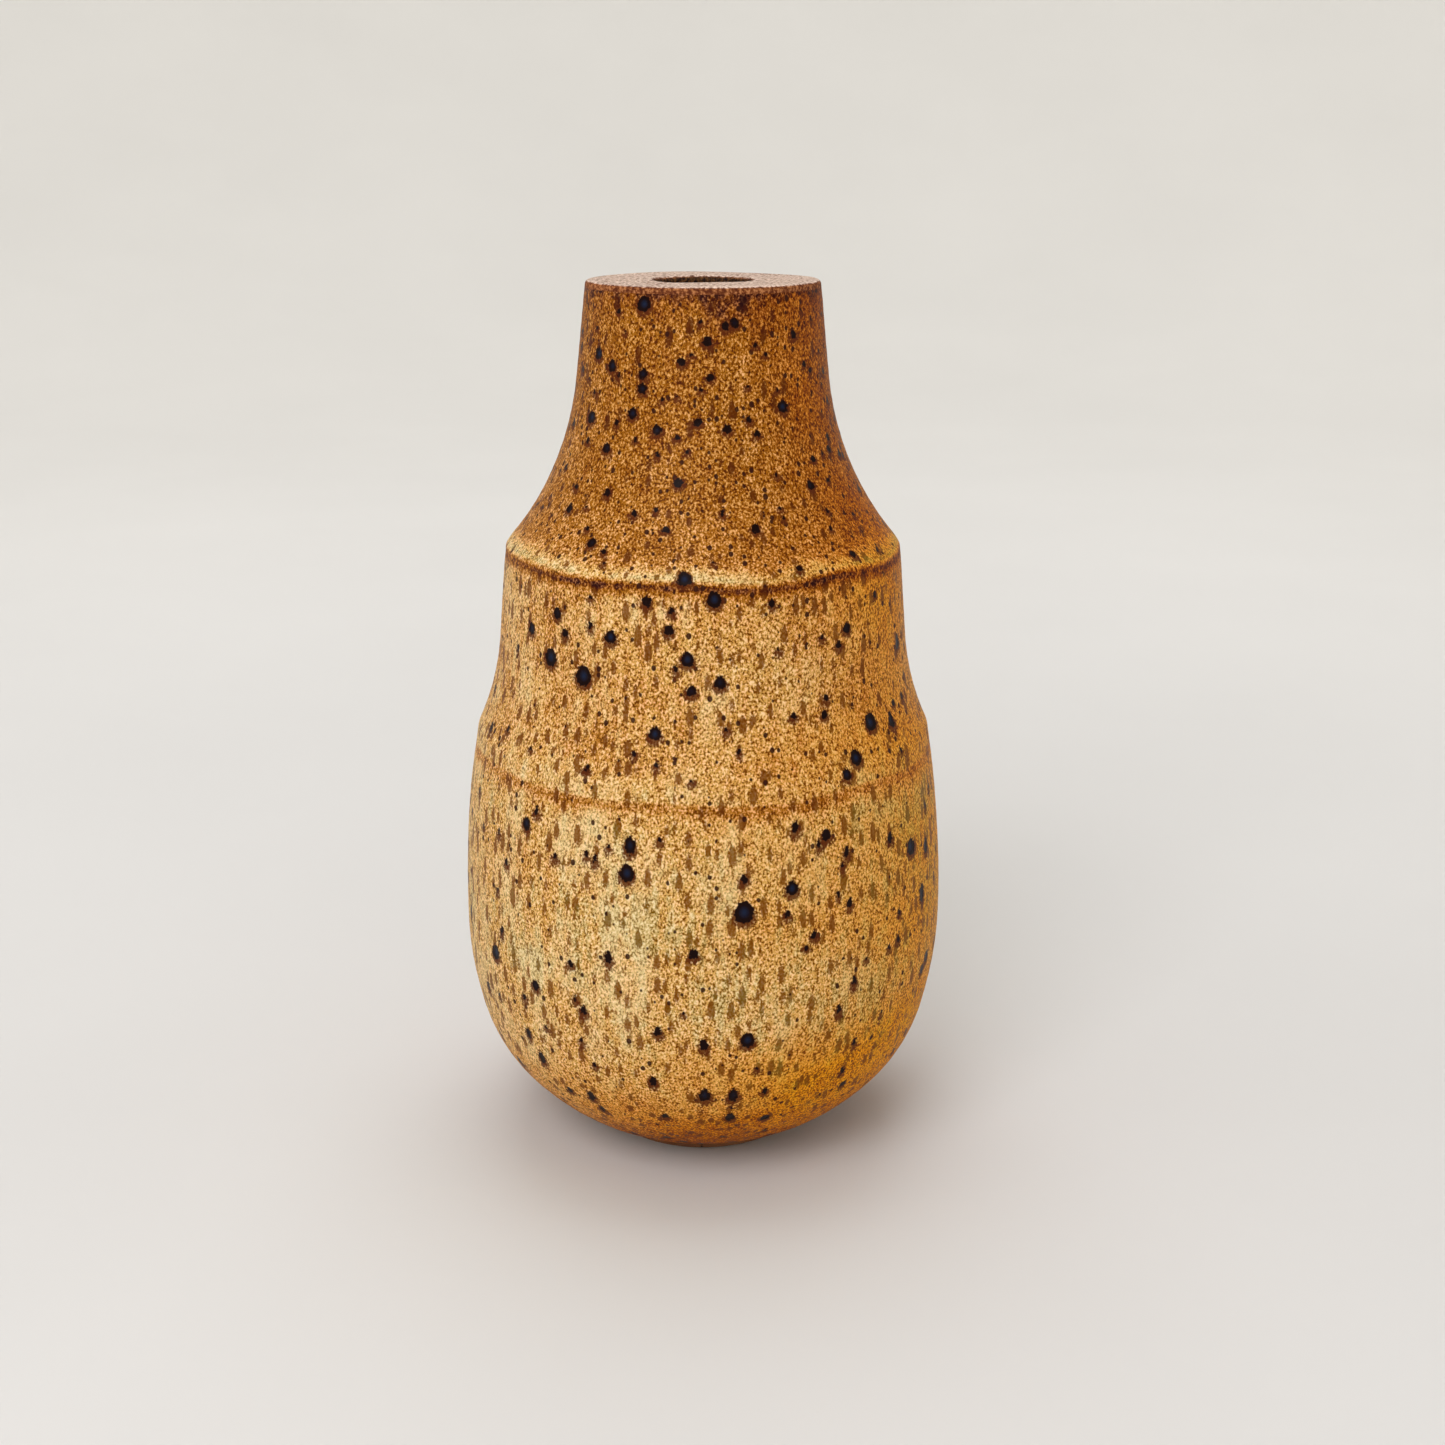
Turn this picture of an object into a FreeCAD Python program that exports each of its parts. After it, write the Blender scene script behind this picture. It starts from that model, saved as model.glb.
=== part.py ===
"""Stoneware bud vase, in millimetres: +Z up, origin on the table at the centre of the foot.

A tall pear-shaped pot of revolution with a flat closed-in rim round a small mouth. Two ridges cut its
outline: the shoulder, under the flared neck, and the hip, under the gently flared waist. The clay is
five wheel-thrown sections luted together at V joints, one under the rim, one at each ridge and one at
the foot. A thin coat of glaze covers all of it but the foot: three bands that break at the ridges, a
wash over the rim, and a liner poured inside.

The half section is a closed outline of corners, each with the radius of the arc that rounds it.
Every layer is that outline moved inwards, so clay and glaze meet face to face.
"""

import FreeCAD, Part
import math
import os

# Heights, stacked from the table up.
foot_height = 2.2
belly_height = 76.5
waist_height = 37.1
neck_height = 49.2

# Outside radii over the glaze.
foot_radius = 21.3
belly_radius = 46.3
hip_radius = 43.6
shoulder_radius = 36.9
rim_radius = 21.3

# The mouth, and the flat rim that it goes through.
mouth_radius = 8.7
rim_thickness = 7.0
rim_edge_round = 0.9
mouth_edge_round = 1.2
mouth_under_round = 1.8

# Thicknesses. The wall and the floor are measured over the glaze on both sides.
wall = 5.2
floor = 6.5
glaze = 0.4
rim_wash_depth = 1.3
glaze_stop = 0.3

# The belly's curve, as corners that arcs round off: out and up from the foot, and down from the hip.
undercut_out = 8.1
undercut_up = 3.5
undercut_round = 60.0
tuck_in = 3.9
tuck_up = 17.4
tuck_round = 39.0
belly_low_up = 35.1
belly_low_round = 80.0
belly_high_down = 16.4
belly_high_round = 250.0

# The narrow sloping land at each ridge, where the glaze breaks.
hip_land = 3.6
hip_land_in = 0.6
hip_low_round = 9.0
hip_high_round = 6.0
shoulder_land = 1.0
shoulder_land_in = 0.1
shoulder_low_round = 0.8
shoulder_high_round = 1.3

# The hollow sweeps of the waist and the neck.
waist_corner_out = 2.1
waist_corner_up = 12.4
waist_round = 60.0
neck_corner_out = 3.5
neck_corner_up = 16.5
neck_round = 55.0

# Inside, where a thrown wall is softer than the outline.
floor_round = 14.0
hip_inside_round = 20.0
shoulder_inside_round = 10.0
under_rim_round = 3.0

# The V joints that hold the sections to each other, the collar under the rim's inner corner that
# ends in one of them, and the ring under the base.
joint_half_width = 1.1
joint_height = 1.4
rim_collar = 1.0
foot_ring_inset = 0.6
foot_ring_width = 5.0
foot_ring_round = 0.6

# Levels that several pieces share.
hip_level = foot_height + belly_height
shoulder_level = hip_level + waist_height
overall_height = shoulder_level + neck_height
under_rim_level = overall_height - rim_thickness
rim_wash_level = overall_height - rim_wash_depth
clear_of_pot = 2 * max(belly_radius, hip_radius, shoulder_radius, rim_radius)


def crossing(a, b, c, d):
    """The point where the line through a and b meets the line through c and d."""
    across = (b[0] - a[0]) * (d[1] - c[1]) - (b[1] - a[1]) * (d[0] - c[0])
    along = ((c[0] - a[0]) * (d[1] - c[1]) - (c[1] - a[1]) * (d[0] - c[0])) / across
    return a[0] + along * (b[0] - a[0]), a[1] + along * (b[1] - a[1])


def turn_at(before, corner, after):
    """The signed angle that an outline turns by at a corner, positive to the left."""
    inward = math.atan2(corner[1] - before[1], corner[0] - before[0])
    outward = math.atan2(after[1] - corner[1], after[0] - corner[0])
    return math.remainder(outward - inward, 2 * math.pi)


def fitted(outline):
    """The outline with each radius cut down, where needed, to what its two sides have room for."""
    count = len(outline)
    reach = []
    for i, (x, z, radius) in enumerate(outline):
        turn = turn_at(outline[i - 1], outline[i], outline[(i + 1) % count])
        reach.append(radius * math.tan(abs(turn) / 2))
    share = [1.0] * count
    for i in range(count):
        j = (i + 1) % count
        side = math.dist(outline[i][:2], outline[j][:2])
        room = min(1.0, 0.998 * side / max(reach[i] + reach[j], 1e-9))
        share[i] = min(share[i], room)
        share[j] = min(share[j], room)
    return [(x, z, radius * share[i]) for i, (x, z, radius) in enumerate(outline)]


def moved_in(outline, distances):
    """The outline with the side after each corner moved left, into the clay, by its own distance.

    Arcs stay concentric: a left turn's radius shrinks by the distance and a right turn's grows."""
    count = len(outline)
    sides = []
    for i in range(count):
        (ax, az, _), (bx, bz, _) = outline[i], outline[(i + 1) % count]
        length = math.hypot(bx - ax, bz - az)
        nx, nz = -(bz - az) / length * distances[i], (bx - ax) / length * distances[i]
        sides.append(((ax + nx, az + nz), (bx + nx, bz + nz)))
    moved = []
    for i, (_, _, radius) in enumerate(outline):
        x, z = crossing(*sides[i - 1], *sides[i])
        turn = turn_at(outline[i - 1], outline[i], outline[(i + 1) % count])
        if radius:
            radius = max(0.0, radius - math.copysign(min(distances[i - 1], distances[i]), turn))
        moved.append((x, z, radius))
    return moved


def face_of(outline):
    """The flat face in the XZ plane inside a closed outline, with its corners rounded by arcs."""
    count = len(outline)
    edges = []
    last = None
    for i, (x, z, radius) in enumerate(outline):
        before, after = outline[i - 1], outline[(i + 1) % count]
        corner = FreeCAD.Vector(x, 0, z)
        turn = turn_at(before, outline[i], after)
        start = end = corner
        if radius > 0.01 and abs(turn) > 1e-6:
            reach = radius * math.tan(abs(turn) / 2)
            back = (FreeCAD.Vector(before[0], 0, before[1]) - corner).normalize()
            ahead = (FreeCAD.Vector(after[0], 0, after[1]) - corner).normalize()
            start, end = corner + back * reach, corner + ahead * reach
            centre = start + (ahead + back).normalize() * (radius / math.cos(turn / 2)) - back * reach
            middle = centre + (corner - centre).normalize() * radius
        if last is not None:
            edges.append(Part.LineSegment(last, start).toShape())
        else:
            first = start
        if start != end:
            edges.append(Part.Arc(start, middle, end).toShape())
        last = end
    edges.append(Part.LineSegment(last, first).toShape())
    return Part.Face(Part.Wire(edges))


def sharp(*points):
    """A closed outline of sharp corners."""
    return [(x, z, 0.0) for x, z in points]


def spun(face):
    """The solid that a half section sweeps round the pot's axis."""
    solid = face.revolve(FreeCAD.Vector(0, 0, 0), FreeCAD.Vector(0, 0, 1), 360)
    if solid.ShapeType != "Solid":
        solid = Part.Solid(solid)
    return solid


def outside():
    """The outer corners over the glaze, from the edge of the foot up to the edge of the rim."""
    return [
        (foot_radius, foot_height, 0.0),
        (foot_radius + undercut_out, foot_height + undercut_up, undercut_round),
        (belly_radius - tuck_in, foot_height + tuck_up, tuck_round),
        (belly_radius, foot_height + belly_low_up, belly_low_round),
        (belly_radius, hip_level - belly_high_down, belly_high_round),
        (hip_radius, hip_level, hip_low_round),
        (hip_radius - hip_land_in, hip_level + hip_land, hip_high_round),
        (shoulder_radius + waist_corner_out, hip_level + waist_corner_up, waist_round),
        (shoulder_radius, shoulder_level, shoulder_low_round),
        (shoulder_radius - shoulder_land_in, shoulder_level + shoulder_land, shoulder_high_round),
        (rim_radius + neck_corner_out, shoulder_level + neck_corner_up, neck_round),
        (rim_radius, overall_height, rim_edge_round),
    ]


def inside(outer):
    """The cavity's corners, from under the rim down to the floor.

    The wall follows the outside without its lands and its undercut, at one thickness."""
    _, undercut, tuck, low, high, hip, hip_top, waist, shoulder, shoulder_top, neck, rim = outer
    seat = crossing(undercut[:2], tuck[:2], (0, foot_height), (1, foot_height))
    hip_corner = crossing(high[:2], hip[:2], hip_top[:2], waist[:2])
    shoulder_corner = crossing(waist[:2], shoulder[:2], shoulder_top[:2], neck[:2])
    guide = [
        (0.0, foot_height, 0.0),
        (*seat, 0.0),
        tuck,
        low,
        high,
        (*hip_corner, hip_inside_round + wall),
        waist,
        (*shoulder_corner, shoulder_inside_round + wall),
        neck,
        (*rim[:2], 0.0),
        (0.0, overall_height, 0.0),
    ]
    distances = [floor] + [wall] * 8 + [rim_thickness, 0.0]
    cavity = moved_in(fitted(guide), distances)
    cavity[1] = (*cavity[1][:2], floor_round)
    cavity[9] = (*cavity[9][:2], under_rim_round)
    return cavity[9:0:-1]


def skin_outline():
    """The glazed pot's whole half section, anticlockwise from the axis at the base."""
    outer = outside()
    return fitted([
        (0.0, foot_height, 0.0),
        *outer,
        (mouth_radius, overall_height, mouth_edge_round),
        (mouth_radius, under_rim_level, mouth_under_round),
        *inside(outer),
        (0.0, foot_height + floor, 0.0),
    ])


def clay_outline(skin):
    """The bare clay's half section: the skin moved in by the glaze, but not under the base."""
    distances = [0.0] + [glaze] * (len(skin) - 2) + [0.0]
    return moved_in(skin, distances)


def band(low_line, high_line):
    """A face that reaches past the pot, between two lines that run from the axis outwards."""
    return face_of(sharp(*low_line, *reversed(high_line)))


def level_line(level):
    """A flat cut at one level, from the axis to clear of the pot."""
    return [(0.0, level), (clear_of_pot, level)]


def joint_line(level, wall_middle):
    """A joint at one level, with a V ridge of the lower section up into the middle of the wall."""
    return [
        (0.0, level),
        (wall_middle - joint_half_width, level),
        (wall_middle, level + joint_height),
        (wall_middle + joint_half_width, level),
        (clear_of_pot, level),
    ]


def wall_middle_at(face, level):
    """The radius halfway through the wall of a half section, at a level where only the wall is cut."""
    cut = face.common(Part.makeLine((0, 0, level), (clear_of_pot, 0, level)))
    return (cut.BoundBox.XMin + cut.BoundBox.XMax) / 2


def clay_sections(clay):
    """The thrown sections of the pot, from the base up."""
    face = face_of(clay)
    rim_joint_level = under_rim_level - under_rim_round - rim_collar
    joints = [
        level_line(0.0),
        joint_line(hip_level, wall_middle_at(face, hip_level)),
        joint_line(shoulder_level, wall_middle_at(face, shoulder_level)),
        joint_line(rim_joint_level, wall_middle_at(face, rim_joint_level)),
        level_line(overall_height),
    ]
    names = ["base_bowl", "waist_band", "neck_cone", "rim_disc"]
    return {
        name: face.common(band(joints[i], joints[i + 1])).Faces[0]
        for i, name in enumerate(names)
    }


def glaze_coats(skin, clay):
    """The coat over the clay, split where it breaks or changes: three bands, the rim and the liner."""
    coat = face_of(skin).cut(face_of(clay))
    rim_wash = coat.common(band(level_line(rim_wash_level), level_line(overall_height)))
    rest = coat.common(band(level_line(0.0), level_line(rim_wash_level)))
    liner = min(rest.Faces, key=lambda part: part.BoundBox.XMin)
    outer_coat = max(rest.Faces, key=lambda part: part.BoundBox.XMax)
    levels = {
        "belly_glaze": (foot_height + glaze_stop, hip_level),
        "waist_glaze": (hip_level, shoulder_level),
        "neck_glaze": (shoulder_level, rim_wash_level),
    }
    coats = {
        name: outer_coat.common(band(level_line(low), level_line(high))).Faces[0]
        for name, (low, high) in levels.items()
    }
    coats["rim_glaze"] = rim_wash.Faces[0]
    coats["liner_glaze"] = liner
    return coats


def foot_ring(clay):
    """The trimmed ring of bare clay under the base, its top flat against it."""
    outer_radius = clay[1][0] - foot_ring_inset
    inner_radius = outer_radius - foot_ring_width
    return face_of(fitted([
        (inner_radius, 0.0, foot_ring_round),
        (outer_radius, 0.0, foot_ring_round),
        (outer_radius, foot_height, 0.0),
        (inner_radius, foot_height, 0.0),
    ]))


def main():
    skin = skin_outline()
    clay = clay_outline(skin)
    half_sections = {"foot_ring": foot_ring(clay)}
    half_sections.update(clay_sections(clay))
    half_sections.update(glaze_coats(skin, clay))
    os.makedirs("parts", exist_ok=True)
    for name, face in half_sections.items():
        solid = spun(face)
        if not solid.isValid() or solid.Volume <= 0:
            raise ValueError(f"{name} isn't a valid solid")
        solid.exportStep(f"parts/{name}.step")
        box = solid.optimalBoundingBox(False)
        print(f"{name}: {solid.Volume / 1000:.2f} cm3, z {box.ZMin:.2f} to {box.ZMax:.2f},"
              f" radius to {box.XMax:.2f}")


main()
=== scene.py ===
"""A wheel-thrown stoneware bud vase under an iron-speckled satin glaze, standing on a pale studio sweep."""

import math

import bpy
import numpy as np
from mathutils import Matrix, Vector


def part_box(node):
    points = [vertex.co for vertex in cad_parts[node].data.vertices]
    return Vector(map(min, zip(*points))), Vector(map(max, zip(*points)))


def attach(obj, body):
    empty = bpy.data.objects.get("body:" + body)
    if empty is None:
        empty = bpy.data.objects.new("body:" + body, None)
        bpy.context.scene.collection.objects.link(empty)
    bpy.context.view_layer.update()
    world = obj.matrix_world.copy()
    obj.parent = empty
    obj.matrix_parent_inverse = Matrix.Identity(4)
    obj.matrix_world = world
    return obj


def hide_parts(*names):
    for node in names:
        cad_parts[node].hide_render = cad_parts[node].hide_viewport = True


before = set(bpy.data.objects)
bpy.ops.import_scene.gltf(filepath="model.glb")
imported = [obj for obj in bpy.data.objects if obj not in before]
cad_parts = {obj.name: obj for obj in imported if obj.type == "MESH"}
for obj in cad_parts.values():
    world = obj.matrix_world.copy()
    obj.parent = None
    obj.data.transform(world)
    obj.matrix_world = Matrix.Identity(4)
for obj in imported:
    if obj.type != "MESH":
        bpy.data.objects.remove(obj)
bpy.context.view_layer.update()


# ---- The clay body
# Four thrown sections of iron-bearing stoneware, luted together while leather hard and fired as one.
# Only the underside is bare: elsewhere the glaze hides the clay. These are the CAD solids themselves.

MM = 0.001


def linear(colour):
    """An sRGB hex colour as linear red, green, blue and alpha. A channel c becomes c/12.92 near black, and
    ((c + 0.055)/1.055)^2.4 elsewhere."""
    channels = np.array([int(colour[i:i + 2], 16) for i in (1, 3, 5)]) / 255
    curved = ((channels + 0.055) / 1.055) ** 2.4
    return (*np.where(channels <= 0.04045, channels / 12.92, curved), 1.0)


def add(tree, kind, inputs=(), stops=(), **settings):
    """Adds a node, sets its settings, and fills each input with a value or with a link from a socket. A node
    given as an input is linked by its first output in use."""
    node = tree.nodes.new("ShaderNode" + kind)
    for name, value in settings.items():
        setattr(node, name, value)
    for i, (position, colour) in enumerate(stops):
        elements = node.color_ramp.elements
        element = elements[i] if i < 2 else elements.new(position)
        element.position = position
        element.color = linear(colour)
    for name, value in dict(inputs).items():
        if isinstance(value, bpy.types.Node):
            value = next(socket for socket in value.outputs if socket.enabled)
        if isinstance(value, bpy.types.NodeSocket):
            tree.links.new(value, node.inputs[name])
        else:
            node.inputs[name].default_value = value
    return node


def new_material(name):
    """An empty node material and its tree."""
    material = bpy.data.materials.new(name)
    material.use_nodes = True
    material.node_tree.nodes.clear()
    return material, material.node_tree


def cells(width, height):
    """The scale of a Mapping node whose pattern has cells so many millimetres wide and tall."""
    return 1000 / width, 1000 / width, 1000 / height


# Bare fired stoneware: dry, toasted brown, with sand and iron grog in it. It scatters light with hardly
# any gloss. The grog is 0.5 to 1 mm, and turned rings about 1.2 mm apart are left by the trimming tool.
bare_stoneware, tree = new_material("bare_stoneware")
place = add(tree, "TexCoord").outputs["Object"]
grog_place = add(tree, "Mapping", {"Vector": place, "Scale": cells(0.9, 0.9)})
grog = add(tree, "TexVoronoi", {"Vector": grog_place, "Scale": 1.0})
sand = add(tree, "TexNoise", {"Vector": grog_place, "Scale": 1.6, "Detail": 3.0})
toast_place = add(tree, "Mapping", {"Vector": place, "Scale": cells(14, 14)})
toast = add(tree, "TexNoise", {"Vector": toast_place, "Scale": 1.0, "Detail": 2.0})
body = add(tree, "ValToRGB", {"Fac": toast}, stops=[(0.35, "#7A4C2C"), (0.65, "#9C6A42")])
fleck = add(tree, "MapRange", {"Value": grog, "From Min": 0.32, "From Max": 0.2})
chance = add(tree, "SeparateColor", {"Color": grog.outputs["Color"]}).outputs["Red"]
iron_only = add(tree, "Math", {0: chance, 1: 0.7}, operation="GREATER_THAN")
fleck = add(tree, "Math", {0: fleck, 1: iron_only}, operation="MULTIPLY")
flecked = add(tree, "Mix", {"Factor": fleck, 6: body, 7: linear("#2E1A10")}, data_type="RGBA")
rough = add(tree, "MapRange", {"Value": sand, "To Min": 0.72, "To Max": 0.95})
flat = add(tree, "VectorMath", {0: place, 1: (1, 1, 0)}, operation="MULTIPLY")
from_axis = add(tree, "VectorMath", {0: flat}, operation="LENGTH")
turns = add(tree, "Math", {0: from_axis, 1: 2 * math.pi * 1000 / 1.2}, operation="MULTIPLY")
rings = add(tree, "Math", {0: turns}, operation="SINE")
grit = add(tree, "Math", {0: rings, 1: 0.35, 2: sand}, operation="MULTIPLY_ADD")
bump = add(tree, "Bump", {"Height": grit, "Strength": 0.6, "Distance": 0.08 * MM})
shader = add(tree, "BsdfPrincipled", {"Base Color": flecked, "Roughness": rough, "IOR": 1.5, "Normal": bump})
add(tree, "OutputMaterial", {"Surface": shader})

for name in ("base_bowl", "waist_band", "neck_cone", "rim_disc"):
    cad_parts[name].data.materials.clear()
    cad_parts[name].data.materials.append(bare_stoneware)


# ---- The foot ring
# A low ring of the same bare clay, turned out of the base at leather hardness and wiped round at its
# edges. The turning tool leaves fine rings on it, and it is a few hundredths of a millimetre out of true.


def wrapped_faces(rows, columns):
    """The quads of a grid that closes on itself both ways: each point joins the next one round, the row
    after and the corner between, by index modulo the row and column counts."""
    row, column = np.meshgrid(np.arange(rows), np.arange(columns), indexing="ij")
    after, beside = (row + 1) % rows, (column + 1) % columns
    corners = [row * columns + column, row * columns + beside, after * columns + beside,
               after * columns + column]
    return np.stack(corners, axis=-1).reshape(-1, 4)


def turned_piece(name, radius, height, angle, material, node):
    """A solid of revolution standing for a CAD node: a closed outline of radius and height in millimetres,
    anticlockwise, carried round the axis. A point is (radius*sin(angle), -radius*cos(angle), height)."""
    points = np.stack(np.broadcast_arrays(radius * np.sin(angle), -radius * np.cos(angle), height), -1)
    quads = wrapped_faces(*points.shape[:2])
    mesh = bpy.data.meshes.new(name)
    mesh.vertices.add(points.size // 3)
    mesh.vertices.foreach_set("co", points.ravel() * MM)
    mesh.loops.add(quads.size)
    mesh.loops.foreach_set("vertex_index", quads.ravel())
    mesh.polygons.add(len(quads))
    mesh.polygons.foreach_set("loop_start", np.arange(0, quads.size, 4))
    mesh.polygons.foreach_set("use_smooth", np.ones(len(quads), bool))
    mesh.update(calc_edges=True)
    mesh.set_sharp_from_angle(angle=math.radians(50))
    mesh.materials.append(material)
    piece = bpy.data.objects.new(name, mesh)
    bpy.context.scene.collection.objects.link(piece)
    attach(piece, "root")
    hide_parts(node)
    return piece


def rounded(corners, step):
    """Points about a step apart along a line of corners (radius, height, round).

    Each corner is cut off by the arc tangent to both its sides, which starts round*tan(turn/2) from the
    corner. Where a side is too short for the rounds at its two ends, both shrink to fit it."""
    at = np.array(corners, float)
    side = np.diff(at[:, :2], axis=0)
    length = np.hypot(side[:, 0], side[:, 1])
    heading = np.arctan2(side[:, 1], side[:, 0])
    turn = np.zeros(len(at))
    turn[1:-1] = (np.diff(heading) + np.pi) % (2 * np.pi) - np.pi
    reach = at[:, 2] * np.tan(abs(turn) / 2)
    room = np.minimum(1.0, 0.998 * length / np.maximum(reach[:-1] + reach[1:], 1e-9))
    share = np.minimum(np.append(1.0, room), np.append(room, 1.0))
    line = [at[:1, :2]]
    for i in range(1, len(at) - 1):
        arc_round = at[i, 2] * share[i]
        start = at[i, :2] - side[i - 1] / length[i - 1] * reach[i] * share[i]
        to_centre = heading[i - 1] + np.copysign(np.pi / 2, turn[i])
        centre = start + arc_round * np.array([np.cos(to_centre), np.sin(to_centre)])
        sweep = to_centre + np.pi + np.linspace(0, turn[i], 2 + int(abs(turn[i]) * arc_round / 0.05))
        line.append(centre + arc_round * np.stack([np.cos(sweep), np.sin(sweep)], axis=1))
    line = np.concatenate([*line, at[-1:, :2]])
    along = np.append(0.0, np.cumsum(np.hypot(*np.diff(line, axis=0).T)))
    even = np.linspace(0, along[-1], 2 + int(along[-1] / step))
    return np.interp(even, along, line[:, 0]), np.interp(even, along, line[:, 1])


FOOT_WALL, FOOT_ROUND = 5.0, 0.6
foot_outer, _, foot_top = (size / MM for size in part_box("foot_ring")[1])
foot_inner = foot_outer - FOOT_WALL
foot_radius, foot_height = rounded(
    [(foot_inner, foot_top, 0), (foot_inner, 0, FOOT_ROUND), (foot_outer, 0, FOOT_ROUND),
     (foot_outer, foot_top, 0)], 0.15)
free_edge = np.sin(np.pi * np.linspace(0, 1, len(foot_radius)))[:, None]
angle = np.arange(240) * 2 * np.pi / 240
foot_radius = foot_radius[:, None] - free_edge * 0.03 * (1 + np.sin(3 * angle + 0.6))
foot_height = foot_height[:, None] + free_edge * 0.02 * (1 + np.sin(foot_radius * 2 * np.pi / 0.9))
turned_piece("turned_foot_ring", foot_radius, foot_height, angle, bare_stoneware, "foot_ring")


# ---- The liner glaze
# A brown glaze poured in and out before the outside was glazed. It shows only as the dark wall of the
# mouth. It is the CAD solid itself, glossier than the outside because it is thick and shaded from ash.

liner_glaze, tree = new_material("brown_liner_glaze")
place = add(tree, "TexCoord").outputs["Object"]
speck_place = add(tree, "Mapping", {"Vector": place, "Scale": cells(0.8, 1.4)})
specks = add(tree, "TexNoise", {"Vector": speck_place, "Scale": 1.0, "Detail": 2.0})
brown = add(tree, "ValToRGB", {"Fac": specks}, stops=[(0.4, "#1C0C06"), (0.52, "#3C1E0E"), (0.66, "#7A4C2A")])
gloss = add(tree, "MapRange", {"Value": specks, "To Min": 0.15, "To Max": 0.4})
bump = add(tree, "Bump", {"Height": specks, "Strength": 0.3, "Distance": 0.05 * MM})
shader = add(tree, "BsdfPrincipled", {"Base Color": brown, "Roughness": gloss, "IOR": 1.52, "Normal": bump})
add(tree, "OutputMaterial", {"Surface": shader})
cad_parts["liner_glaze"].data.materials.clear()
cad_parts["liner_glaze"].data.materials.append(liner_glaze)


# ---- The belly's glaze
# A dipped stoneware glaze, 0.4 mm thick, from just above the foot to the hip. It is thickest here, so it
# is palest, and it ran a little as it melted: the iron in the clay bleeds through as spots and runs.

# The thickness of the coats in mm, and the number of points that they have round the pot.
COAT, COLUMNS = 0.4, 480

# The outside of the vase in mm, from the foot up, over the rim and into the mouth, and the coats' ends.
outline = rounded([
    (21.3, 2.2, 0), (29.4, 5.7, 60), (42.4, 19.6, 39), (46.3, 37.3, 80), (46.3, 62.3, 250),
    (43.6, 78.7, 9), (43.0, 82.3, 6), (39.0, 91.1, 60), (36.9, 115.8, 0.8), (36.8, 116.8, 1.3),
    (24.8, 132.3, 55), (21.3, 165.0, 0.9), (8.7, 165.0, 1.2), (8.7, 158.0, 0)], 0.05)
outline_along = np.append(0.0, np.cumsum(np.hypot(*np.diff(outline))))
RIM_EDGE = outline_along[np.argmax(outline[1] > 164.9)]
HIP, SHOULDER, RIM = 78.7, 115.8, 163.7

# How thick the glaze lies at heights in mm, from 0, where it breaks, to 1, where it pools. It runs off the
# sharp corner of each ridge and gathers on the land above, and it is thin at the rim.
DEPTH_HEIGHTS = (2.5, 4, 7, 12, 19, 30, 55, 71, 75.2, 77.0, 78.3, 79.2, 79.8, 82.5, 86, 92, 104, 111, 114.0,
                 114.9, 115.6, 116.2, 116.8, 117.4, 118.4, 119.4, 121, 128, 146, 158, 162, 164.2)
DEPTHS = (0.22, 0.34, 0.42, 0.56, 0.74, 0.84, 0.88, 0.86, 0.85, 0.74, 0.54, 0.60, 0.84, 0.82, 0.72, 0.70,
          0.73, 0.74, 0.68, 0.46, 0.16, 0.14, 0.62, 1.00, 0.82, 0.60, 0.46, 0.41, 0.37, 0.31, 0.22, 0.06)

# Painted shade and sheen: the right side of the vase is coloured a deeper honey yellow as painted warm shade,
# and the left is made creamier as a painted sheen. Where the middle of the shaded side is round the vase, and
# how wide the shaded side is.
PAINTED_SHADE_SIDE, PAINTED_SHADE_WIDTH = math.radians(65), math.radians(42)


def along_at(height):
    """The distance along the outside of the outline, below the rim, at a height in mm."""
    outside = outline_along < RIM_EDGE
    return np.interp(height, outline[1][outside], outline_along[outside])


def drift(angle, along, seed, turns=6, tall=30.0, waves=20):
    """Smooth random patches, mostly from -1 to 1: the sum of cosine waves, each with a whole number of turns
    round the pot, a random slope along the wall in radians per mm, and a random phase. It is scaled so that
    1 is 1.6 standard deviations."""
    random = np.random.default_rng(seed)
    total = 0
    for _ in range(waves):
        total = total + np.cos(random.integers(-turns, turns + 1) * angle
                               + random.normal() * 2 * np.pi / tall * along + random.uniform(0, 2 * np.pi))
    return total * math.sqrt(2 / waves) / 1.6


def iron_spots(placed, seed, low, high, area_each, typical, taller):
    """Iron spots as rows of angle, distance along the wall, radius, height over width, and top taper.

    The placed ones come as degrees, mm up and mm. The others are drawn evenly over the area between two
    distances along the wall, one for each area_each square mm, with log-normal radii of 0.3 to 1 mm, and
    those that come within 1 mm of a placed one are left out."""
    random = np.random.default_rng(seed)
    mean_radius = np.interp((low + high) / 2, outline_along, outline[0])
    count = int(2 * np.pi * mean_radius * (high - low) / area_each)
    scattered = np.stack([random.uniform(-np.pi, np.pi, count), random.uniform(low + 1.5, high - 1.5, count),
                          np.clip(typical * np.exp(0.38 * random.normal(size=count)), 0.3, 1.0),
                          1 + (taller - 1) * random.uniform(0.2, 1.4, count),
                          random.uniform(0, 0.45, count)], axis=1)
    degrees, height, size = np.array(placed).T
    known = np.stack([np.radians(degrees), along_at(height), size, 1 + 0 * size + (taller - 1) * 0.3,
                      0.15 + 0 * size], axis=1)
    away = abs(np.exp(1j * scattered[:, None, 0]) - np.exp(1j * known[None, :, 0])) * mean_radius
    apart = np.hypot(away, scattered[:, None, 1] - known[None, :, 1])
    clear = (apart > 1.0 + scattered[:, None, 2] + known[None, :, 2]).all(axis=1)
    return np.concatenate([known, scattered[clear]])


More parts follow.
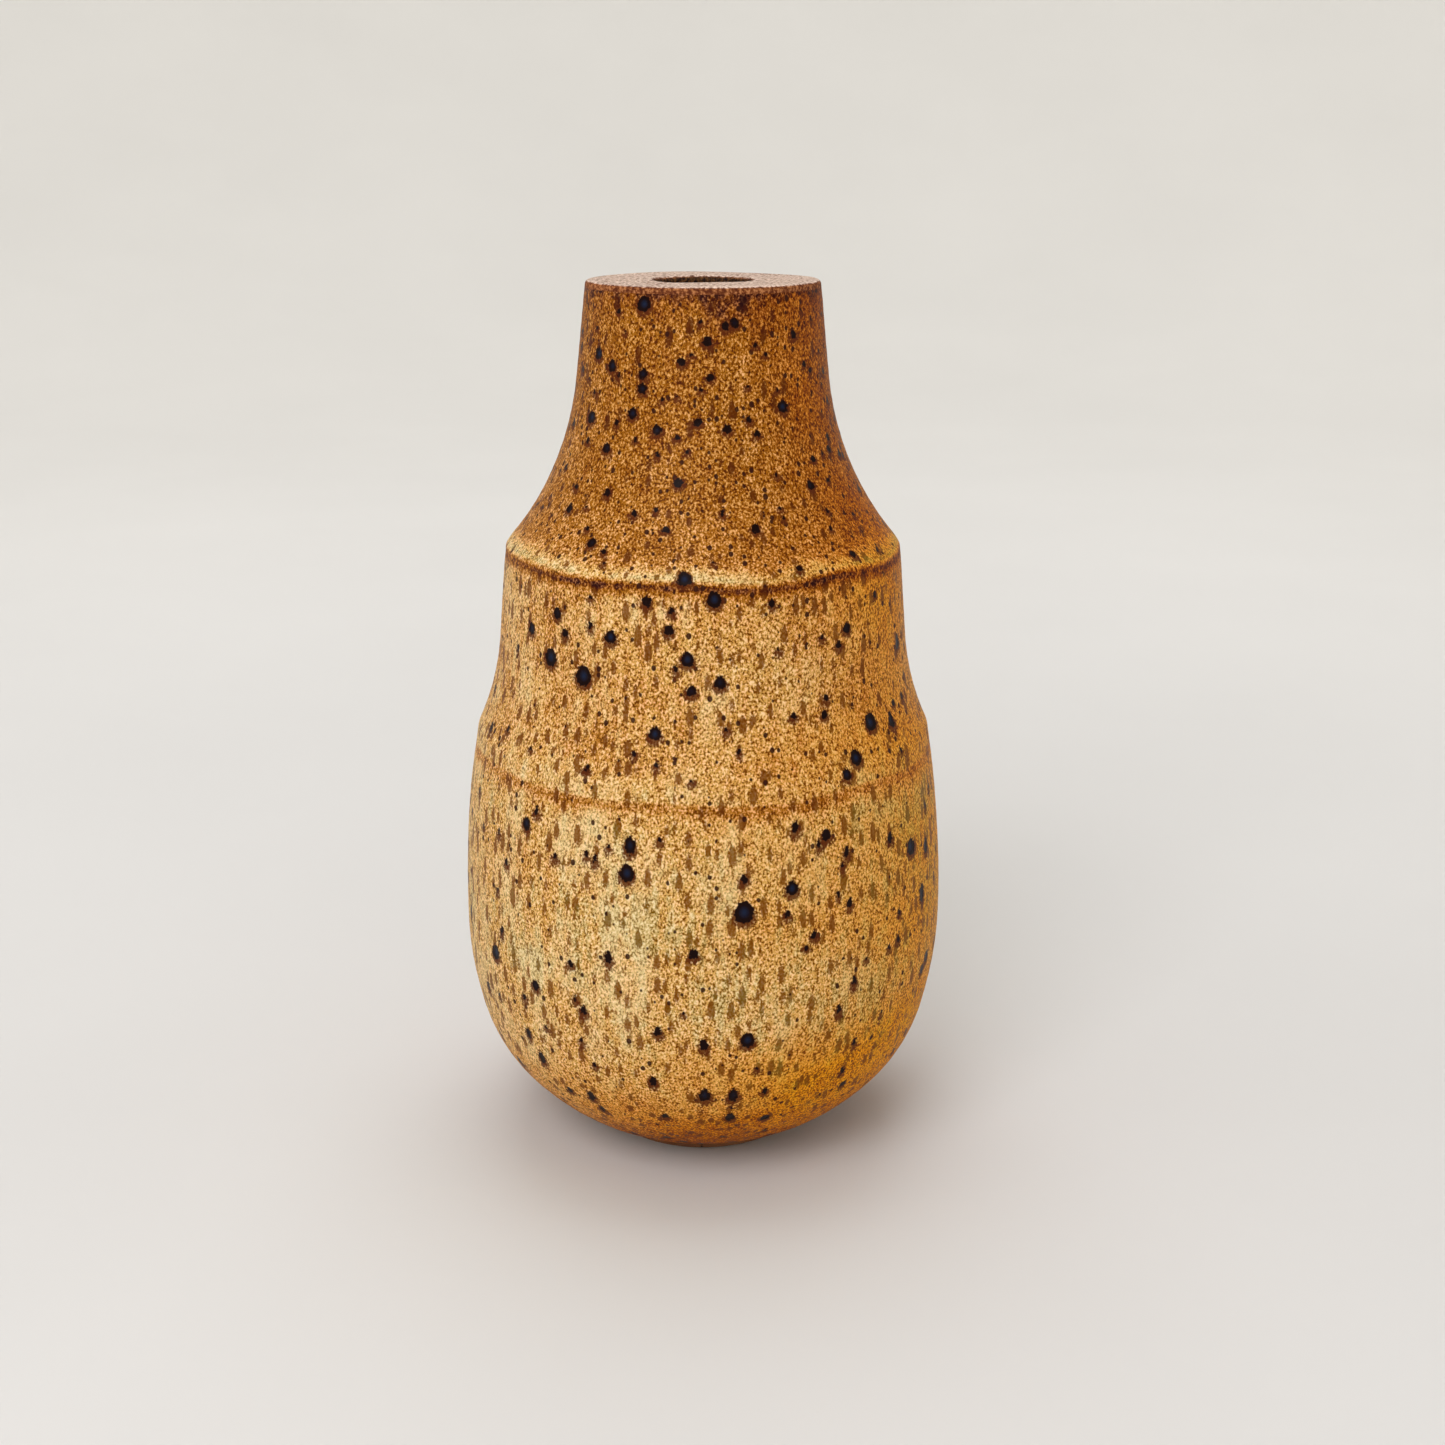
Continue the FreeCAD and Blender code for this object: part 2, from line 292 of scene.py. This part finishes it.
def two_layers(spots, radius):
    """The spots in two groups, so that within a group every pair is 3.2 mm apart or more at its edges. A
    spot that fits in neither is left out."""
    layers = [], []
    for spot in spots:
        for layer in layers:
            room = 9.0
            for other in layer:
                round_pot = abs(math.remainder(spot[0] - other[0], 2 * math.pi)) * radius
                between = math.hypot(round_pot, spot[1] - other[1])
                room = min(room, between - spot[2] * spot[3] - other[2] * other[3])
            if room > 3.2:
                layer.append(spot)
                break
    return layers


def nearest_spot(angle, along, radius, spots):
    """For each point, the spot whose edge is nearest, as (round, up, spot radius) and the gap to its edge.

    Round and up are the point's offset from the spot in mm. Up is divided by the spot's height over width,
    and round grows with up by the taper, so that a spot that ran is a circle in these two numbers."""
    shape = np.broadcast_shapes(angle.shape, along.shape)
    gap = np.full(shape, 9.0)
    found = np.full((*shape, 3), (9.0, 0.0, 0.1))
    for spot_angle, spot_along, size, tall, taper in spots:
        up = (along - spot_along) / tall
        away = radius * ((angle - spot_angle + np.pi) % (2 * np.pi) - np.pi)
        away = away * (1 + taper * np.clip(up / size, -0.6, 1.4))
        edge = np.hypot(away, up) - size
        nearer = edge < gap
        gap = np.where(nearer, edge, gap)
        found[nearer] = np.stack(np.broadcast_arrays(away, up, size), axis=-1)[nearer]
    return found, gap


def pit(spot, gap):
    """The relief of a spot in mm: a pit 0.7 of its radius wide inside a raised ring 0.35 wide, both as bells,
    and both deeper in a larger spot."""
    across = np.hypot(spot[..., 0], spot[..., 1]) / spot[..., 2]
    ring = np.exp(-((across - 1) / 0.35) ** 2) - 1.4 * np.exp(-((across / 0.7) ** 2))
    return 0.045 * np.clip(spot[..., 2], 0, 1.6) * ring * (gap < 2)


def wall_at(along):
    """The outline's radius and height in mm at distances along it, and how much each grows in a mm."""
    slopes = np.gradient(outline[0], outline_along), np.gradient(outline[1], outline_along)
    return [np.interp(along, outline_along, line) for line in (*outline, *slopes)]


def coat_depth(angle, along, height):
    """How thick the glaze lies at each point: DEPTHS at a height that wanders by about half a millimetre up
    and down round the pot, with broad and narrow random patches added."""
    wander = 0.45 * drift(angle, 0 * along, 11, turns=9)
    depth = np.interp(height + wander, DEPTH_HEIGHTS, DEPTHS)
    return depth + 0.05 * drift(angle, along, 12, turns=5) + 0.04 * drift(angle, along, 13, turns=16, tall=9)


def shade_and_sheen_at(angle, along, height):
    """How much painted shade or painted sheen the glaze's colour carries, from -1 to 1. Above 0 it is painted
    warm shade: a bell round the shaded side, plus a slope that starts at 38 mm and grows down towards the
    foot, for the shade under the belly. Below 0 it is painted sheen: a bell on the far side, to the left.
    Random patches, the glaze's own variation, are added."""
    turned = (angle - PAINTED_SHADE_SIDE + np.pi) % (2 * np.pi) - np.pi
    painted_shade_and_sheen = 0.85 * np.exp(-((turned / PAINTED_SHADE_WIDTH) ** 2)) + 0.12 * drift(angle, along, 16)
    painted_shade_and_sheen = painted_shade_and_sheen - 0.5 * np.exp(-(((turned + 2.1) / 0.8) ** 2)) + 1.1 * np.clip((38 - height) / 24, 0, 1)
    return np.clip(painted_shade_and_sheen, -1, 1)


def coat_relief(angle, along, height, depth, ends, layers):
    """How far the glaze stands out from the outline in mm: slow waves from dipping, more where it is thick,
    throwing rings 3.1 mm apart, trimming rings 1.3 mm apart below 11 mm, and the pits of the spots. The
    rings and pits are multiplied by ends, which falls to 0 over the last 1.5 mm of the coat."""
    rings = 0.012 * np.sin(2 * np.pi * along / 3.1 + drift(angle, along, 14))
    rings = rings + 0.03 * np.sin(2 * np.pi * along / 1.3) * np.clip((11 - height) / 5, 0, 1)
    dipping = 0.08 * drift(angle, along, 15, turns=4, tall=60)
    return dipping + 0.14 * (depth - 0.6) + ends * (rings + sum(pit(*layer) for layer in layers))


def glaze_coat(name, low, high, rows, spots, material, node):
    """A coat over the wall between two distances along the outline, as a closed shell: its outside is the
    outline moved out by the glaze's relief, and its inside is the outline moved in by the coat's thickness.

    Its points carry the glaze's depth, the painted shade and sheen of its colour and, for two layers of
    spots, the nearest spot and the gap to it. The points of the inside come last and carry fixed values,
    because nothing shows there."""
    angle = np.arange(COLUMNS)[None, :] * 2 * np.pi / COLUMNS
    along = np.linspace(low, high, rows)[:, None]
    behind = np.linspace(high, low, 18)[:, None]
    radius, height, turn_r, turn_z = wall_at(along)
    back_radius, back_height, back_r, back_z = wall_at(behind)
    layers = [nearest_spot(angle, along, radius, layer) for layer in two_layers(spots, float(radius.mean()))]
    depth = coat_depth(angle, along, height)
    ends = np.clip(np.minimum(along - low, high - along) / 1.5, 0, 1)
    relief = coat_relief(angle, along, height, depth, ends, layers)
    all_radius = np.concatenate([radius + relief * turn_z, back_radius - COAT * back_z + 0 * angle])
    all_height = np.concatenate([height - relief * turn_r, back_height + COAT * back_r + 0 * angle])
    piece = turned_piece(name, all_radius, all_height, angle, material, node)
    carried = {"glaze_depth": depth, "painted_shade_and_sheen": shade_and_sheen_at(angle, along, height)}
    for key, (spot, gap) in zip("ab", layers):
        carried |= {f"spot_{key}": spot, f"gap_{key}": gap}
    for key, values in carried.items():
        kind, field, fixed = ("FLOAT_VECTOR", "vector", 9.0) if values.ndim == 3 else ("FLOAT", "value", 0.5)
        inside = len(behind) * values[0].size
        attribute = piece.data.attributes.new(key, kind, "POINT")
        attribute.data.foreach_set(field, np.pad(values.ravel(), (0, inside), constant_values=fixed))


# The colours of the glaze from thin to thick, and those of the dark and the pale crystals in it.
GLAZE_BODY = [(0.06, "#5C2C16"), (0.22, "#8A4A08"), (0.4, "#A0600A"), (0.55, "#BA7A26"), (0.7, "#D69C48"),
              (0.88, "#DEAC5A"), (1.0, "#CEAC68")]
DARK_CRYSTALS = [(0.06, "#260808"), (0.22, "#481602"), (0.4, "#5A2600"), (0.7, "#703800"), (0.88, "#7A4400"),
                 (1.0, "#74500C")]
PALE_CRYSTALS = [(0.06, "#A86C44"), (0.22, "#CC8840"), (0.4, "#E0A45A"), (0.55, "#F6BC84"), (0.7, "#FFD09A"),
                 (0.88, "#FFDAA6"), (1.0, "#F4DEAC")]


def glaze_ground(tree, grain, rivulet, blotch, cloud):
    """The glaze's colour before its runs and spots, and the dark tone of its runs. Depth swings with the
    rivulets and blotches. Dark and pale crystals lie in it by the grain. Fog turns thick glaze cream where it
    is cloudy, and more so away from the shaded side, where the cream is partly a painted sheen. On the shaded
    side and towards the foot, the colour is multiplied by a yellow as painted warm shade."""
    depth = add(tree, "Attribute", attribute_name="glaze_depth").outputs["Fac"]
    for waves, share in ((rivulet, 0.5), (blotch, 0.45)):
        swing = add(tree, "Math", {0: waves, 1: 0.5}, operation="SUBTRACT")
        depth = add(tree, "Math", {0: swing, 1: share, 2: depth}, operation="MULTIPLY_ADD")
    body = add(tree, "ValToRGB", {"Fac": depth}, stops=GLAZE_BODY)
    dark = add(tree, "ValToRGB", {"Fac": depth}, stops=DARK_CRYSTALS)
    pale = add(tree, "ValToRGB", {"Fac": depth}, stops=PALE_CRYSTALS)
    # Painted shade and sheen: above 0 the glaze turns a deeper honey yellow as painted warm shade, below 0 it
    # turns cream as painted sheen.
    painted_shade_and_sheen = add(tree, "Attribute", attribute_name="painted_shade_and_sheen").outputs["Fac"]
    fog_and_sheen = add(tree, "Math", {0: painted_shade_and_sheen, 1: -0.14, 2: cloud}, operation="MULTIPLY_ADD")
    fog_and_sheen = add(tree, "MapRange", {"Value": fog_and_sheen, "From Min": 0.48, "From Max": 0.66})
    thick = add(tree, "MapRange", {"Value": depth, "From Min": 0.62, "From Max": 0.9, "To Max": 0.7})
    fog_and_sheen = add(tree, "Math", {0: fog_and_sheen, 1: thick}, operation="MULTIPLY")
    clear = add(tree, "Math", {0: fog_and_sheen, 1: -0.4, 2: 1.0}, operation="MULTIPLY_ADD")
    dark_part = add(tree, "MapRange", {"Value": grain, "From Min": 0.475, "From Max": 0.4})
    dark_part = add(tree, "Math", {0: dark_part, 1: clear}, operation="MULTIPLY")
    pale_part = add(tree, "MapRange", {"Value": grain, "From Min": 0.54, "From Max": 0.62})
    cream = add(tree, "Mix", {"Factor": 0.75, 6: body, 7: linear("#EAD49C")}, data_type="RGBA")
    colour = body
    for part, tone in ((fog_and_sheen, cream), (dark_part, dark), (pale_part, pale)):
        colour = add(tree, "Mix", {"Factor": part, 6: colour, 7: tone}, data_type="RGBA")
    # Painted warm shade: on the right side and towards the foot the colour is multiplied by a yellow.
    painted_shade_part = add(tree, "Math", {0: painted_shade_and_sheen, 1: 0.0}, operation="MAXIMUM")
    colour = add(tree, "Mix", {"Factor": painted_shade_part, 6: colour, 7: linear("#F6CC34")}, data_type="RGBA",
                 blend_type="MULTIPLY")
    return colour, dark


def soft_runs(tree, place, grain, runs):
    """How much of a run each point is in. A run is 0.8 to 1.5 mm wide and two or three times as tall, one to
    a cell of 1.8 by 4.6 mm: the length of the offset from the cell's middle, with the sideways part grown by
    height so that the top is drawn out, plus the grain for a ragged edge, against the run's size."""
    spread = add(tree, "Mapping", {"Vector": place, "Scale": cells(1.8, 4.6)})
    cell = add(tree, "TexVoronoi", {"Vector": spread, "Scale": 1.0, "Randomness": 0.85})
    offset = add(tree, "VectorMath", {0: spread, 1: cell.outputs["Position"]}, operation="SUBTRACT")
    above = add(tree, "SeparateXYZ", {"Vector": offset}).outputs["Z"]
    narrow = add(tree, "Math", {0: above, 1: 0.7, 2: 1.1}, operation="MULTIPLY_ADD")
    drawn = add(tree, "CombineXYZ", {"X": narrow, "Y": narrow, "Z": 1.0})
    drop = add(tree, "VectorMath", {0: offset, 1: drawn}, operation="MULTIPLY")
    drop = add(tree, "VectorMath", {0: drop}, operation="LENGTH")
    chance = add(tree, "SeparateColor", {"Color": cell.outputs["Color"]}).outputs["Red"]
    size = add(tree, "MapRange", {"Value": chance, "From Min": 1 - runs, "To Min": 0.34, "To Max": 0.56})
    shown = add(tree, "Math", {0: chance, 1: 1 - runs}, operation="GREATER_THAN")
    size = add(tree, "Math", {0: size, 1: shown}, operation="MULTIPLY")
    ragged = add(tree, "Math", {0: grain, 1: 0.5, 2: drop}, operation="MULTIPLY_ADD")
    ragged = add(tree, "Math", {0: ragged, 1: size}, operation="SUBTRACT")
    return add(tree, "MapRange", {"Value": ragged, "From Min": 0.27, "From Max": 0.06, "To Max": 0.88},
               interpolation_type="SMOOTHSTEP")


def fine_dots(tree, place, dots):
    """How much of a fine dark dot each point is in. A dot is up to 1 mm wide, one to a cell of 1.2 by 1.5 mm:
    the distance from the cell's middle against the dot's size."""
    spread = add(tree, "Mapping", {"Vector": place, "Scale": cells(1.2, 1.5)})
    cell = add(tree, "TexVoronoi", {"Vector": spread, "Scale": 1.0})
    chance = add(tree, "SeparateColor", {"Color": cell.outputs["Color"]}).outputs["Red"]
    size = add(tree, "MapRange", {"Value": chance, "From Min": 1 - 0.6 * dots, "To Min": 0.0, "To Max": 0.42})
    edge = add(tree, "Math", {0: cell, 1: size}, operation="SUBTRACT")
    return add(tree, "MapRange", {"Value": edge, "From Min": 0.02, "From Max": -0.06, "To Max": 0.95})


def large_spots(tree, layer, worn, fringed):
    """How much of the bleed, the black and the blue centre of a layer of large spots each point is in. The
    blue centre is a painted reflection of the sky in the glossy black. The bleed goes by the distance from a
    point 0.4 mm below the spot's middle, because iron runs down, and its edge is fringed. The black's edge is
    only worn. Only a spot over 0.85 mm in radius has the painted reflection."""
    gap = add(tree, "Attribute", attribute_name=f"gap_{layer}").outputs["Fac"]
    near = add(tree, "MapRange", {"Value": gap, "From Min": 1.35, "From Max": 1.05})
    offset = add(tree, "Attribute", attribute_name=f"spot_{layer}").outputs["Vector"]
    radius = add(tree, "SeparateXYZ", {"Vector": offset}).outputs["Z"]
    flat = add(tree, "VectorMath", {0: offset, 1: (1, 1, 0)}, operation="MULTIPLY")
    reach = add(tree, "VectorMath", {0: flat}, operation="LENGTH")
    fallen = add(tree, "VectorMath", {0: flat, 1: (0, 0.4, 0)}, operation="ADD")
    fallen = add(tree, "VectorMath", {0: fallen}, operation="LENGTH")
    bleed, black = (fallen, fringed, 0.75, 0.05, 0.9), (reach, worn, 0.06, -0.14, 1.0)
    parts = []
    for length, rough, start, end, top in (bleed, black):
        edge = add(tree, "Math", {0: length, 1: radius}, operation="SUBTRACT")
        edge = add(tree, "Math", {0: edge, 1: rough}, operation="ADD")
        part = add(tree, "MapRange", {"Value": edge, "From Min": start, "From Max": end, "To Max": top},
                   interpolation_type="SMOOTHSTEP")
        parts.append(add(tree, "Math", {0: part, 1: near}, operation="MULTIPLY"))
    bleed_part, black_part = parts
    share = add(tree, "Math", {0: reach, 1: radius}, operation="DIVIDE")
    painted_reflection_part = add(tree, "MapRange", {"Value": share, "From Min": 0.6, "From Max": 0.1, "To Max": 0.65})
    large = add(tree, "MapRange", {"Value": radius, "From Min": 0.85, "From Max": 1.1})
    large = add(tree, "Math", {0: large, 1: black_part}, operation="MULTIPLY")
    painted_reflection_part = add(tree, "Math", {0: painted_reflection_part, 1: large}, operation="MULTIPLY")
    return bleed_part, black_part, painted_reflection_part


def speckled_glaze(name, runs, dots):
    """The iron-speckled satin glaze. Runs and dots, from 0 to 1, say how many soft runs and fine dark dots a
    band shows. They lie over the ground, and the large spots over them."""
    material, tree = new_material(name)
    place = add(tree, "TexCoord").outputs["Object"]

    # Noises by width and height in mm: crystals, rivulets that ran down, blotches, fog and worn edges.
    noises = []
    for width, height in ((0.38, 0.5), (2.2, 20), (1.5, 2.2), (9, 18), (0.7, 0.7)):
        spread = add(tree, "Mapping", {"Vector": place, "Scale": cells(width, height)})
        noises.append(add(tree, "TexNoise", {"Vector": spread, "Scale": 1.0, "Detail": 2.0,
                                             "Roughness": 0.62}))
    grain, rivulet, blotch, cloud, worn = noises
    colour, dark = glaze_ground(tree, grain, rivulet, blotch, cloud)
    run_part = soft_runs(tree, place, grain, runs)
    dot_part = fine_dots(tree, place, dots)
    worn = add(tree, "MapRange", {"Value": worn, "From Min": 0.25, "From Max": 0.75, "To Min": -0.3,
                                  "To Max": 0.3}, clamp=False)
    fringed = add(tree, "Math", {0: grain, 1: 1.6, 2: -0.8}, operation="MULTIPLY_ADD")
    fringed = add(tree, "Math", {0: fringed, 1: worn}, operation="ADD")
    layers = [(run_part, dark), (dot_part, linear("#34140A"))]
    spot_part = 0.0
    for layer in ("a", "b"):
        bleed_part, black_part, painted_reflection_part = large_spots(tree, layer, worn, fringed)
        # The blue is a painted reflection of the sky in the middle of each large spot.
        layers += [(bleed_part, linear("#5A260A")), (black_part, linear("#180705")),
                   (painted_reflection_part, linear("#1A2A46"))]
        spot_part = add(tree, "Math", {0: spot_part, 1: black_part}, operation="MAXIMUM")
    for part, tone in layers:
        colour = add(tree, "Mix", {"Factor": part, 6: colour, 7: tone}, data_type="RGBA")

    # Satin between the crystals, glassier and a little sunken where iron melted in.
    satin = add(tree, "MapRange", {"Value": grain, "From Min": 0.3, "From Max": 0.7, "To Min": 0.46,
                                   "To Max": 0.62})
    for part, smooth in ((run_part, 0.42), (spot_part, 0.36)):
        satin = add(tree, "Mix", {"Factor": part, 2: satin, 3: smooth})
    level = grain
    for part in (run_part, dot_part):
        level = add(tree, "Math", {0: part, 1: -0.5, 2: level}, operation="MULTIPLY_ADD")
    bump = add(tree, "Bump", {"Height": level, "Strength": 0.5, "Distance": 0.09 * MM})
    shader = add(tree, "BsdfPrincipled", {"Base Color": colour, "Roughness": satin, "IOR": 1.5,
                                          "Specular IOR Level": 0.06, "Normal": bump})
    add(tree, "OutputMaterial", {"Surface": shader})
    return material


# The belly's larger spots: degrees round from the front to the right, mm up, and radius in mm.
belly_spots = iron_spots(
    [(9, 60.5, 1.75), (9, 66.5, 0.7), (-17, 67, 1.35), (57, 65, 1.4), (-56, 44.5, 1.3), (20, 64, 1.15),
     (10, 36, 1.3), (-45, 72, 1.0), (-41, 42, 0.9), (-2, 53, 0.85), (17, 16.5, 0.9), (64, 38.5, 0.9)],
    21, along_at(3), along_at(78), 95, 0.5, 1.7)
belly_glaze = speckled_glaze("satin_speckled_glaze_belly", runs=0.75, dots=0.35)
glaze_coat("belly_glaze_coat", along_at(2.5), along_at(HIP), 176, belly_spots, belly_glaze, "belly_glaze")


# ---- The waist's glaze
# The same glaze between the two ridges. It breaks to bare purple-brown iron on the edge that carries the
# neck, below that it is thin and full of pinkish crystals, and it pools pale on the hip's land.

waist_spots = iron_spots(
    [(-33, 99.5, 1.65), (-45, 101.5, 1.5), (-25, 107, 1.1), (-43, 109.5, 0.9), (-54, 105.5, 1.0),
     (-9, 109, 0.85), (-4, 104, 1.15), (-3, 98.5, 0.9), (-12, 91, 1.1), (48, 89.5, 1.5), (40, 84.5, 1.3),
     (36, 82.3, 1.0), (42, 107, 0.9), (3, 114.3, 1.3), (-15, 113.7, 0.85)],
    22, along_at(79), along_at(115), 120, 0.48, 1.5)
waist_glaze = speckled_glaze("satin_speckled_glaze_waist", runs=0.7, dots=0.5)
glaze_coat("waist_glaze_coat", along_at(HIP), along_at(SHOULDER), 120, waist_spots, waist_glaze,
           "waist_glaze")


# ---- The neck's glaze
# The same glaze, thinner and so browner, from its pale roll on the shoulder up to the rim, where it is
# thinnest and turns red-brown. More of the clay's iron comes through it, as round black spots.

neck_spots = iron_spots(
    [(-28, 162, 1.35), (14, 159, 0.9), (10, 158.5, 0.75), (13, 161, 0.6), (2, 156, 0.85), (6, 154.5, 1.0),
     (-54, 153, 1.1), (-27, 150.3, 0.95), (-27, 147.8, 0.95), (-31, 143.5, 1.0), (-19, 141, 0.95),
     (-55, 142, 1.1), (36, 144.5, 1.1), (-2, 142.5, 0.75), (-9, 132.5, 0.85), (43, 131, 0.9),
     (17, 125, 0.85), (-36, 122, 0.9), (-5, 117.6, 1.3)],
    23, along_at(117), along_at(163), 31, 0.45, 1.15)
neck_glaze = speckled_glaze("satin_speckled_glaze_neck", runs=0.3, dots=0.9)
glaze_coat("neck_glaze_coat", along_at(SHOULDER), along_at(RIM), 156, neck_spots, neck_glaze, "neck_glaze")


# ---- The rim's wash
# The flat rim was wiped and has only a thin wash of glaze over it, which fired dry, pinkish and sandy.
# At its outer edge it is painted paler, as a highlight on the lip, and turns into the red-brown of the neck;
# into the mouth it turns dark.

rim_wash, tree = new_material("dry_rim_wash")
place = add(tree, "TexCoord").outputs["Object"]
sand_place = add(tree, "Mapping", {"Vector": place, "Scale": cells(0.55, 0.55)})
sand = add(tree, "TexNoise", {"Vector": sand_place, "Scale": 1.0, "Detail": 3.0, "Roughness": 0.6})
beige = add(tree, "ValToRGB", {"Fac": sand}, stops=[(0.4, "#947460"), (0.49, "#C8A892"), (0.58, "#EAD4C2")])
brown = add(tree, "ValToRGB", {"Fac": sand}, stops=[(0.38, "#5A2810"), (0.5, "#7E4420"), (0.62, "#B87848")])
mouth_tone = add(tree, "ValToRGB", {"Fac": sand}, stops=[(0.42, "#1A0A04"), (0.62, "#64401F")])

# Iron specks up to 0.8 mm wide, in seven of ten cells of 1.4 mm.
speck_place = add(tree, "Mapping", {"Vector": place, "Scale": cells(1.4, 1.4)})
specks = add(tree, "TexVoronoi", {"Vector": speck_place, "Scale": 1.0})
speck_part = add(tree, "MapRange", {"Value": specks, "From Min": 0.3, "From Max": 0.18})
chance = add(tree, "SeparateColor", {"Color": specks.outputs["Color"]}).outputs["Red"]
most = add(tree, "Math", {0: chance, 1: 0.3}, operation="GREATER_THAN")
speck_part = add(tree, "Math", {0: speck_part, 1: most}, operation="MULTIPLY")

# By radius, the wash is painted palest at its outer edge as a highlight on the lip, and darkest in the mouth.
# Below a sandy line it is brown.
flat = add(tree, "VectorMath", {0: place, 1: (1, 1, 0)}, operation="MULTIPLY")
from_axis = add(tree, "VectorMath", {0: flat}, operation="LENGTH")
# Painted highlight: the outer edge of the lip is made paler.
lip_highlight_part = add(tree, "MapRange", {"Value": from_axis, "From Min": 20.3 * MM, "From Max": 20.8 * MM,
                                  "To Max": 0.45})
mouth_part = add(tree, "MapRange", {"Value": from_axis, "From Min": 9.35 * MM, "From Max": 9.0 * MM})
up = add(tree, "SeparateXYZ", {"Vector": place}).outputs["Z"]
up = add(tree, "Math", {0: sand, 1: 0.5 * MM, 2: up}, operation="MULTIPLY_ADD")
edge_part = add(tree, "MapRange", {"Value": up, "From Min": 165.13 * MM, "From Max": 164.93 * MM})
colour = beige
for part, tone in ((speck_part, linear("#5A3824")), (lip_highlight_part, linear("#EED2BE")), (edge_part, brown),
                   (mouth_part, mouth_tone)):
    colour = add(tree, "Mix", {"Factor": part, 6: colour, 7: tone}, data_type="RGBA")
dry = add(tree, "MapRange", {"Value": sand, "To Min": 0.6, "To Max": 0.85})
bump = add(tree, "Bump", {"Height": sand, "Strength": 0.6, "Distance": 0.1 * MM})
shader = add(tree, "BsdfPrincipled", {"Base Color": colour, "Roughness": dry, "IOR": 1.5,
                                      "Specular IOR Level": 0.12, "Normal": bump})
add(tree, "OutputMaterial", {"Surface": shader})
past_rim = outline_along > RIM_EDGE + 8
in_mouth = np.interp(-RIM, -outline[1][past_rim], outline_along[past_rim])
glaze_coat("rim_wash_coat", along_at(RIM), in_mouth, 64, (), rim_wash, "rim_glaze")


# ---- The studio
# A seamless sweep of pale paper that rises all round, far enough away to show no horizon from any side.
# One soft light stands in front to the left, one is overhead and a little behind, four wash the paper, and
# the room is brighter towards the front. The colours go to the screen with no film curve.

rise = np.linspace(0, np.pi / 2, 16)
sweep_radius = np.concatenate([[0, 0.05, 0.15, 0.3, 0.6], 0.9 + 1.2 * np.sin(rise)])[:, None]
sweep_height = np.concatenate([np.zeros(5), 1.2 * (1 - np.cos(rise))])[:, None]
angle = np.arange(96)[None, :] * 2 * np.pi / 96
sweep_points = np.stack(np.broadcast_arrays(
    sweep_radius * np.sin(angle), -sweep_radius * np.cos(angle), sweep_height), -1)
sweep_faces = wrapped_faces(*sweep_points.shape[:2])[:-angle.size]
sweep_mesh = bpy.data.meshes.new("paper_sweep")
sweep_mesh.from_pydata(sweep_points.reshape(-1, 3), [], sweep_faces.tolist())
sweep_mesh.update()
sweep_mesh.polygons.foreach_set("use_smooth", np.ones(len(sweep_mesh.polygons), bool))

# Uncoated paper: matte and very slightly uneven in tone.
paper, tree = new_material("pale_matte_paper")
place = add(tree, "TexCoord").outputs["Object"]
cloud = add(tree, "TexNoise", {"Vector": place, "Scale": 6.0, "Detail": 3.0})
tint = add(tree, "ValToRGB", {"Fac": cloud}, stops=[(0.3, "#DFDDD9"), (0.7, "#E2E0DC")])
shader = add(tree, "BsdfPrincipled", {"Base Color": tint, "Roughness": 0.75, "Specular IOR Level": 0.2})
add(tree, "OutputMaterial", {"Surface": shader})
sweep_mesh.materials.append(paper)
sweep = bpy.data.objects.new("paper_sweep", sweep_mesh)
bpy.context.scene.collection.objects.link(sweep)


def softbox(name, place, aim, size, power, colour):
    """A square area light of a size in metres, standing at a place and turned to face an aim."""
    light = bpy.data.lights.new(name, "AREA")
    light.shape, light.size, light.energy = "SQUARE", size, power
    light.color = linear(colour)[:3]
    lamp = bpy.data.objects.new(name, light)
    lamp.location = place
    lamp.rotation_euler = (Vector(aim) - lamp.location).to_track_quat("-Z", "Y").to_euler()
    lamp.visible_camera = False
    bpy.context.scene.collection.objects.link(lamp)


softbox("front_left", (-0.3, -0.7, 0.7), (0, -0.1, 0.03), 0.5, 4.3, "#F6F8FF")
softbox("overhead", (0.0, 0.25, 0.95), (0, 0, 0), 0.7, 3.6, "#F6F8FF")
for turn in range(4):
    out = Vector((math.sin(turn * math.pi / 2), math.cos(turn * math.pi / 2), 0))
    softbox(f"backdrop_{turn}", 0.7 * out + Vector((0, 0, 1.3)), 2.0 * out + Vector((0, 0, 0.6)), 1.0,
            8.6, "#FFFFFF")
world = bpy.data.worlds.new("studio")
world.use_nodes = True
tree = world.node_tree
tree.nodes.clear()
towards = add(tree, "TexCoord").outputs["Generated"]
window = add(tree, "VectorMath", {0: towards, 1: (-0.2, -0.75, 0.4)}, operation="DOT_PRODUCT")
daylight = add(tree, "Math", {0: window, 1: 0.23, 2: 0.33}, operation="MULTIPLY_ADD")
room = add(tree, "Background", {"Color": linear("#FFFAF0"), "Strength": daylight})
add(tree, "OutputWorld", {"Surface": room})
bpy.context.scene.world = world
bpy.context.scene.view_settings.view_transform = "Standard"


# ---- The camera
# It looks down at the vase from the front, 0.35 m away, as a person at the table would. The lens is shifted
# a little sideways for the framing.

camera = bpy.data.cameras.new("camera")
camera.lens, camera.sensor_width, camera.shift_x = 47.34, 36.0, 0.0135
eye = bpy.data.objects.new("camera", camera)
eye.location = (0, -0.3515, 0.1879)
eye.rotation_euler = (math.radians(90 - 16.88), 0, 0)
bpy.context.scene.collection.objects.link(eye)
bpy.context.scene.camera = eye
